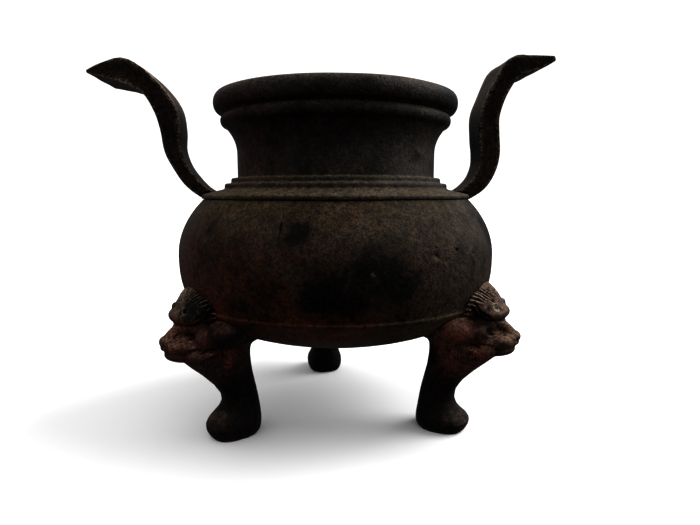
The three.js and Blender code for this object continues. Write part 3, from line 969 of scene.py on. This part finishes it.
def patina(name, colours, shares, marks, roughness=(0.6, 0.85), grain=0.3, shine=0.3):
    """An old bronze skin. The shares say how much stain, soot and dust lie on the ground colour."""
    ground, stain, soot_and_painted_shade, ochre, grey = [linear(colour) for colour in colours]
    stain_share, soot_share, dust_share = shares
    material = bpy.data.materials.new(name)
    material.use_nodes = True
    tree = material.node_tree
    shader = tree.nodes["Principled BSDF"]
    here = add_node(tree, "ShaderNodeTexCoord").outputs["Object"]
    place = add_node(tree, "ShaderNodeVectorMath", {
        0: here, "Scale": 1 / MM,
    }, operation="SCALE").outputs[0]

    clouds = {}
    ragged = place
    for kind, (size, detail, harsh, reach) in cloud_kinds.items():
        cloud = add_node(tree, "ShaderNodeTexNoise", {
            "Vector": place, "Scale": 1 / size, "Detail": detail, "Roughness": harsh, "Distortion": 0.4,
        })
        clouds[kind] = cloud.outputs["Fac"]
        # The clouds' colours shake the place, which makes the outlines of the marks ragged.
        shake = add_node(tree, "ShaderNodeVectorMath", {
            0: cloud.outputs["Color"], 1: (0.5, 0.5, 0.5),
        }, operation="SUBTRACT").outputs[0]
        ragged = add_node(tree, "ShaderNodeVectorMath", {
            0: shake, 1: (reach, reach, reach), 2: ragged,
        }, operation="MULTIPLY_ADD").outputs[0]

    def marked(kind):
        """The sum of this skin's marks of one kind."""
        return spots(tree, place, ragged, marks.get(kind, ()))

    # Stains are ragged and about 11 mm across: the red-brown metal shows through.
    stained = add_node(tree, "ShaderNodeMath", {
        0: clouds["stain"], 1: marked("stain"),
    }, operation="ADD").outputs[0]
    stained = add_node(tree, "ShaderNodeMapRange", {
        "Value": stained, "From Min": 0.7 - stain_share * 0.4, "From Max": 0.86 - stain_share * 0.4,
        "To Max": 0.9,
    }).outputs[0]
    colour = add_node(tree, "ShaderNodeMix", {
        0: stained, 6: ground, 7: stain,
    }, data_type="RGBA").outputs[2]

    # Dust lies on faces that look up and on rubbed edges, where it is partly a painted highlight. Some dust
    # marks are painted light. The clouds break it up.
    normal = add_node(tree, "ShaderNodeNewGeometry").outputs["Normal"]
    upward = add_node(tree, "ShaderNodeSeparateXYZ", {0: normal}).outputs["Z"]
    upward = add_node(tree, "ShaderNodeMapRange", {
        "Value": upward, "From Min": 0.1, "From Max": 1, "To Max": 0.36,
    }).outputs[0]
    rubbed_and_highlit = add_node(tree, "ShaderNodeAttribute", attribute_name="wear_and_highlight").outputs["Fac"]
    dust_and_painted_light = add_node(tree, "ShaderNodeMath", {
        0: rubbed_and_highlit, 1: 0.4, 2: upward,
    }, operation="MULTIPLY_ADD").outputs[0]
    for kind, weight in (("blotch", 0.5), ("stain", 0.6), ("lump", 0.4), ("grain", 0.6)):
        dust_and_painted_light = add_node(tree, "ShaderNodeMath", {
            0: clouds[kind], 1: weight, 2: dust_and_painted_light,
        }, operation="MULTIPLY_ADD").outputs[0]
    dust_and_painted_light = add_node(tree, "ShaderNodeMath", {0: dust_and_painted_light, 1: marked("dust_and_painted_light")}, operation="ADD").outputs[0]
    dust_and_light_mask = add_node(tree, "ShaderNodeMapRange", {
        "Value": dust_and_painted_light, "From Min": 1.28 - dust_share * 0.5, "From Max": 1.7 - dust_share * 0.5,
        "To Max": 0.85,
    }).outputs[0]
    dust_and_highlight_colour = add_node(tree, "ShaderNodeMix", {
        0: marked("grey"), 6: ochre, 7: grey,
    }, data_type="RGBA").outputs[2]
    # Rubbed places turn light tan: wear, and partly a painted highlight.
    dust_and_highlight_colour = add_node(tree, "ShaderNodeMix", {
        0: rubbed_and_highlit, 6: dust_and_highlight_colour, 7: linear(rubbed_and_highlight_tan),
    }, data_type="RGBA").outputs[2]
    colour = add_node(tree, "ShaderNodeMix", {
        0: dust_and_light_mask, 6: colour, 7: dust_and_highlight_colour,
    }, data_type="RGBA").outputs[2]

    # Soot lies in chased lines and in ragged blotches, less on top faces and rubbed edges. Some soot marks
    # are painted shade, and some below zero are painted light.
    hollow = add_node(tree, "ShaderNodeAttribute", attribute_name="hollow").outputs["Fac"]
    black = add_node(tree, "ShaderNodeMath", {0: upward, 1: -0.7}, operation="MULTIPLY").outputs[0]
    for source, weight in (
        (hollow, 0.45), (rubbed_and_highlit, -0.5), (clouds["blotch"], 1), (clouds["stain"], 1.2),
        (clouds["grain"], 0.5),
    ):
        black = add_node(tree, "ShaderNodeMath", {
            0: source, 1: weight, 2: black,
        }, operation="MULTIPLY_ADD").outputs[0]
    black = add_node(tree, "ShaderNodeMath", {0: black, 1: marked("soot_and_painted_shade")}, operation="ADD").outputs[0]
    black = add_node(tree, "ShaderNodeMapRange", {
        "Value": black, "From Min": 1.32 - soot_share * 0.3, "From Max": 1.8 - soot_share * 0.3,
        "To Max": 0.97,
    }).outputs[0]
    colour = add_node(tree, "ShaderNodeMix", {
        0: black, 6: colour, 7: soot_and_painted_shade,
    }, data_type="RGBA").outputs[2]
    # Soot swallows the light, so it shines less than the rest.
    gloss = add_node(tree, "ShaderNodeMapRange", {
        "Value": black, "To Min": shine, "To Max": shine * 0.4,
    }).outputs[0]
    tree.links.new(gloss, shader.inputs["Specular IOR Level"])

    # Each grain of the casting is lighter or darker than the next.
    speck = add_node(tree, "ShaderNodeMath", {
        0: clouds["lump"], 1: 0.6, 2: clouds["grain"],
    }, operation="MULTIPLY_ADD").outputs[0]
    speck = add_node(tree, "ShaderNodeMapRange", {
        "Value": speck, "From Min": 0.64, "From Max": 0.97, "To Min": 0.1, "To Max": 1.75,
    }).outputs[0]
    colour = add_node(tree, "ShaderNodeVectorMath", {
        0: colour, "Scale": speck,
    }, operation="SCALE").outputs[0]
    tree.links.new(colour, shader.inputs["Base Color"])

    # Dust is duller than bare patina. The patina hides the metal, so little is left metallic.
    rough = add_node(tree, "ShaderNodeMapRange", {
        "Value": dust_and_light_mask, "To Min": roughness[0], "To Max": roughness[1],
    }).outputs[0]
    tree.links.new(rough, shader.inputs["Roughness"])
    shader.inputs["Metallic"].default_value = 0.2

    # Relief: the sand's grain and lumps, and here and there a pit of 1 to 2 mm from gas.
    height = add_node(tree, "ShaderNodeMath", {
        0: clouds["lump"], 1: 1.5, 2: clouds["grain"],
    }, operation="MULTIPLY_ADD").outputs[0]
    cells = add_node(tree, "ShaderNodeTexVoronoi", {"Vector": place, "Scale": 1 / pit_spacing})
    pit = add_node(tree, "ShaderNodeMapRange", {
        "Value": cells.outputs["Distance"], "From Min": 0.03, "From Max": 0.1, "To Min": -1.2,
        "To Max": 0,
    }, interpolation_type="SMOOTHSTEP").outputs[0]
    height = add_node(tree, "ShaderNodeMath", {0: height, 1: pit}, operation="ADD").outputs[0]
    bump = add_node(tree, "ShaderNodeBump", {"Height": height, "Distance": grain * MM, "Strength": 1})
    tree.links.new(bump.outputs["Normal"], shader.inputs["Normal"])
    return material


# %% [markdown]
# ## One patina for each kind of casting
# Colours are given in the order ground, stain, soot, ochre dust and grey dust. The marks say
# where a patch lies, how far it reaches and how strong it is; below zero it takes away. They
# were placed one by one on the object, because old patina follows its use and no formula.
# A few marks are painted light and painted shade, each noted where it stands.

# %% Skin of the bowl
# Sand-cast bowl: soot over the middle of its front, red-brown low on the left, grey dust to the
# right, all of it dull. Painted light lightens its lower right and the underside by the right
# front mask, and painted shade dims its right edge.
bowl_skin = patina(
    "sand_cast_bronze_sooted",
    ("#302016", "#532514", "#080706", "#473a23", "#40382c"),
    (0.44, 0.45, 0.44),
    {
        "soot_and_painted_shade": [
            (20, -94, 88, 19, 0.26), (31, -90, 84, 15, 0.2), (-1, -95, 78, 19, 0.24),
            (-10, -94, 88, 17, 0.2), (27, -90, 103, 14, 0.1), (-16, -90, 110, 9, 0.34),
            (-14, -89.6, 112, 6, 0.2), (-20, -88.4, 106, 13, 0.12), (-57, -67, 103, 22, 0.12),
            # The last mark on the next line darkens the belly's right edge: painted shade against the sun's
            # glare there.
            (-36, -85, 80, 22, 0.14), (-40, -78, 106, 12, 0.1), (81, -42, 114, 24, 0.4),
            # The last two marks on the next line take soot off the underside by the right front mask:
            # painted light, standing in for light from the floor.
            (0, -84, 58, 26, -0.12), (50, -68, 57, 26, -0.5), (64, -62, 62, 16, -0.3),
            (15.7, -95.3, 92.7, 1.6, -0.6),
        ],
        "stain": [(-45, -75, 76, 50, 0.22), (-62, -55, 90, 40, 0.14), (0, -85, 60, 40, 0.2)],
        "dust_and_painted_light": [
            (52, -75, 104, 52, 0.22), (-45, -65, 118, 30, 0.1), (38, -80, 64, 26, 0.18),
            # The next line and the first mark of the line after it lighten the belly's lower right and its
            # underside by the right front mask: painted light, standing in for fill light from the right
            # and the floor.
            (50, -68, 57, 26, 0.4), (64, -62, 62, 16, 0.4), (76, -56, 82, 18, 0.24),
            (72, -65, 93, 16, 0.18), (15.7, -95.3, 92.7, 1.6, 0.9), (-19, -92, 92, 12, 0.2),
            (66, -66, 115, 9, 0.2), (-40, -82, 84, 12, 0.12),
        ],
        "grey": [(52, -75, 104, 60, 0.9), (85, -20, 95, 70, 0.6), (-16, -90, 94, 26, 0.5)],
    },
    shine=0.2,
)

# %% Skin of the collar
# Turned collar: dust on its flange and steps, a black neck, red-brown to the left.
collar_skin = patina(
    "turned_cast_bronze_dusted",
    ("#231914", "#3d1d16", "#090808", "#5c4e38", "#504942"),
    (0.4, 0.5, 0.46),
    {
        "soot_and_painted_shade": [(5, -62, 158, 42, 0.16), (-34, -50, 150, 30, 0.12), (54, -45, 178, 18, 0.3)],
        "stain": [(-45, -45, 152, 44, 0.22)],
        "dust_and_painted_light": [
            (50, -40, 146, 34, 0.16), (5, -76, 127, 34, 0.16), (-48, -56, 127, 34, 0.2),
            (58, -56, 127, 34, -0.02),
        ],
        "grey": [(60, -20, 150, 60, 0.8), (10, -76, 127, 40, 0.4)],
    },
)

# %% Skin of the legs
# Chased legs: redder on the masks, which hands have rubbed; shanks and feet are black with soot.
# The haunch behind the right front mask is lightened with painted light.
leg_skin = patina(
    "chased_cast_bronze_rubbed",
    ("#3a241c", "#673122", "#0b0807", "#6b5543", "#625850"),
    (0.55, 0.34, 0.36),
    {
        "soot_and_painted_shade": [
            (-50, -42, 12, 38, 0.46), (59, -43, 12, 38, 0.46), (-1, 50, 20, 60, 0.5),
            # The first mark on the next line takes soot off the haunch behind the right front mask: painted
            # light.
            (60, -59, 59, 22, -0.15), (-50, -64, 61, 18, 0.42), (-62, -63, 76, 13, 0.6),
            (75, -64, 70, 9, 0.1), (-51.5, -57, 45.4, 6, -0.6), (78.5, -66, 58.6, 5, 0.16),
            (-68, -64, 59.6, 5, 0.3), (-70, -65, 71.4, 6, 0.9), (-73, -63, 58, 10, -0.2),
            (51, -47, 44, 11, 0.4), (68, -64, 60, 15, 0.44),
        ],
        "stain": [
            # The second mark on the next line makes that haunch red-brown and lighter: partly its colour,
            # partly painted light.
            (60, -66, 46, 24, 0.2), (60, -59, 59, 22, 0.24), (-54, -61, 60, 18, 0.2),
            (-51.5, -57, 45.4, 6, 0.7), (-73, -63, 58, 14, 0.12),
        ],
        "dust_and_painted_light": [
            (86, -64, 56, 16, 0.2), (-78, -58, 54, 14, 0.12), (65.6, -52, 14, 9, 0.26),
            (-58.3, -52, 13, 8, 0.3), (80.2, -67, 71.4, 3.2, 0.4), (74, -62, 77, 11, 0.2),
            # The first two marks on the next line lighten that haunch and the jowl below it: painted light.
            (60, -59, 59, 22, 0.06), (67, -62, 47, 9, 0.2), (75, -64, 69, 8, -0.14),
            (-51.5, -57, 45.4, 7, -0.1),
        ],
    },
)

# %% Skin of the handles
# Filed straps: near black, with brown in places and lighter on their edges, from wear and partly
# a painted highlight. The right handle's inner face is darkened with painted shade.
handle_skin = patina(
    "filed_bronze_black_patina",
    ("#241a14", "#3a241c", "#090808", "#5e5146", "#57514a"),
    (0.4, 0.5, 0.26),
    {
        # The first soot mark darkens the right handle's inner face: painted shade.
        "soot_and_painted_shade": [(79, -2, 154, 16, 0.4), (-90, -8, 160, 20, 0.1), (-112, -12, 175, 20, -0.7)],
        "dust_and_painted_light": [
            (76, -8, 130, 12, 0.16), (-67, -8, 130, 12, 0.16), (-112, -12, 175, 20, 1),
            (90, -8, 190, 14, 0.1),
        ],
    },
    grain=0.2, shine=0.12,
)

# %% Skin of the roves
# Hammered roves: cleaner, browner and a little glossier, inside and out of reach.
rove_skin = patina(
    "hammered_bronze_brown",
    ("#4a3a28", "#5f4329", "#1e1914", "#6b5f4c", "#67625a"),
    (0.4, 0.3, 0.35),
    {}, roughness=(0.45, 0.7), grain=0.16,
)

# %% Skins on their pieces
skins = {
    "bowl_bronze": bowl_skin, "collar_bronze": collar_skin, "leg_bronze": leg_skin,
    "handle_bronze": handle_skin, "rove_bronze": rove_skin,
}
for piece, slot in seated:
    piece.data.materials.clear()
    piece.data.materials.append(skins[slot])
print("skins on", len(seated), "pieces")

# %% Sizes and finish
box_low, box_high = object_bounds()
for name, low, high in (("solids", cad_low, cad_high), ("castings", box_low, box_high)):
    print(name, [round(v / MM, 2) for v in (*low, *high)])
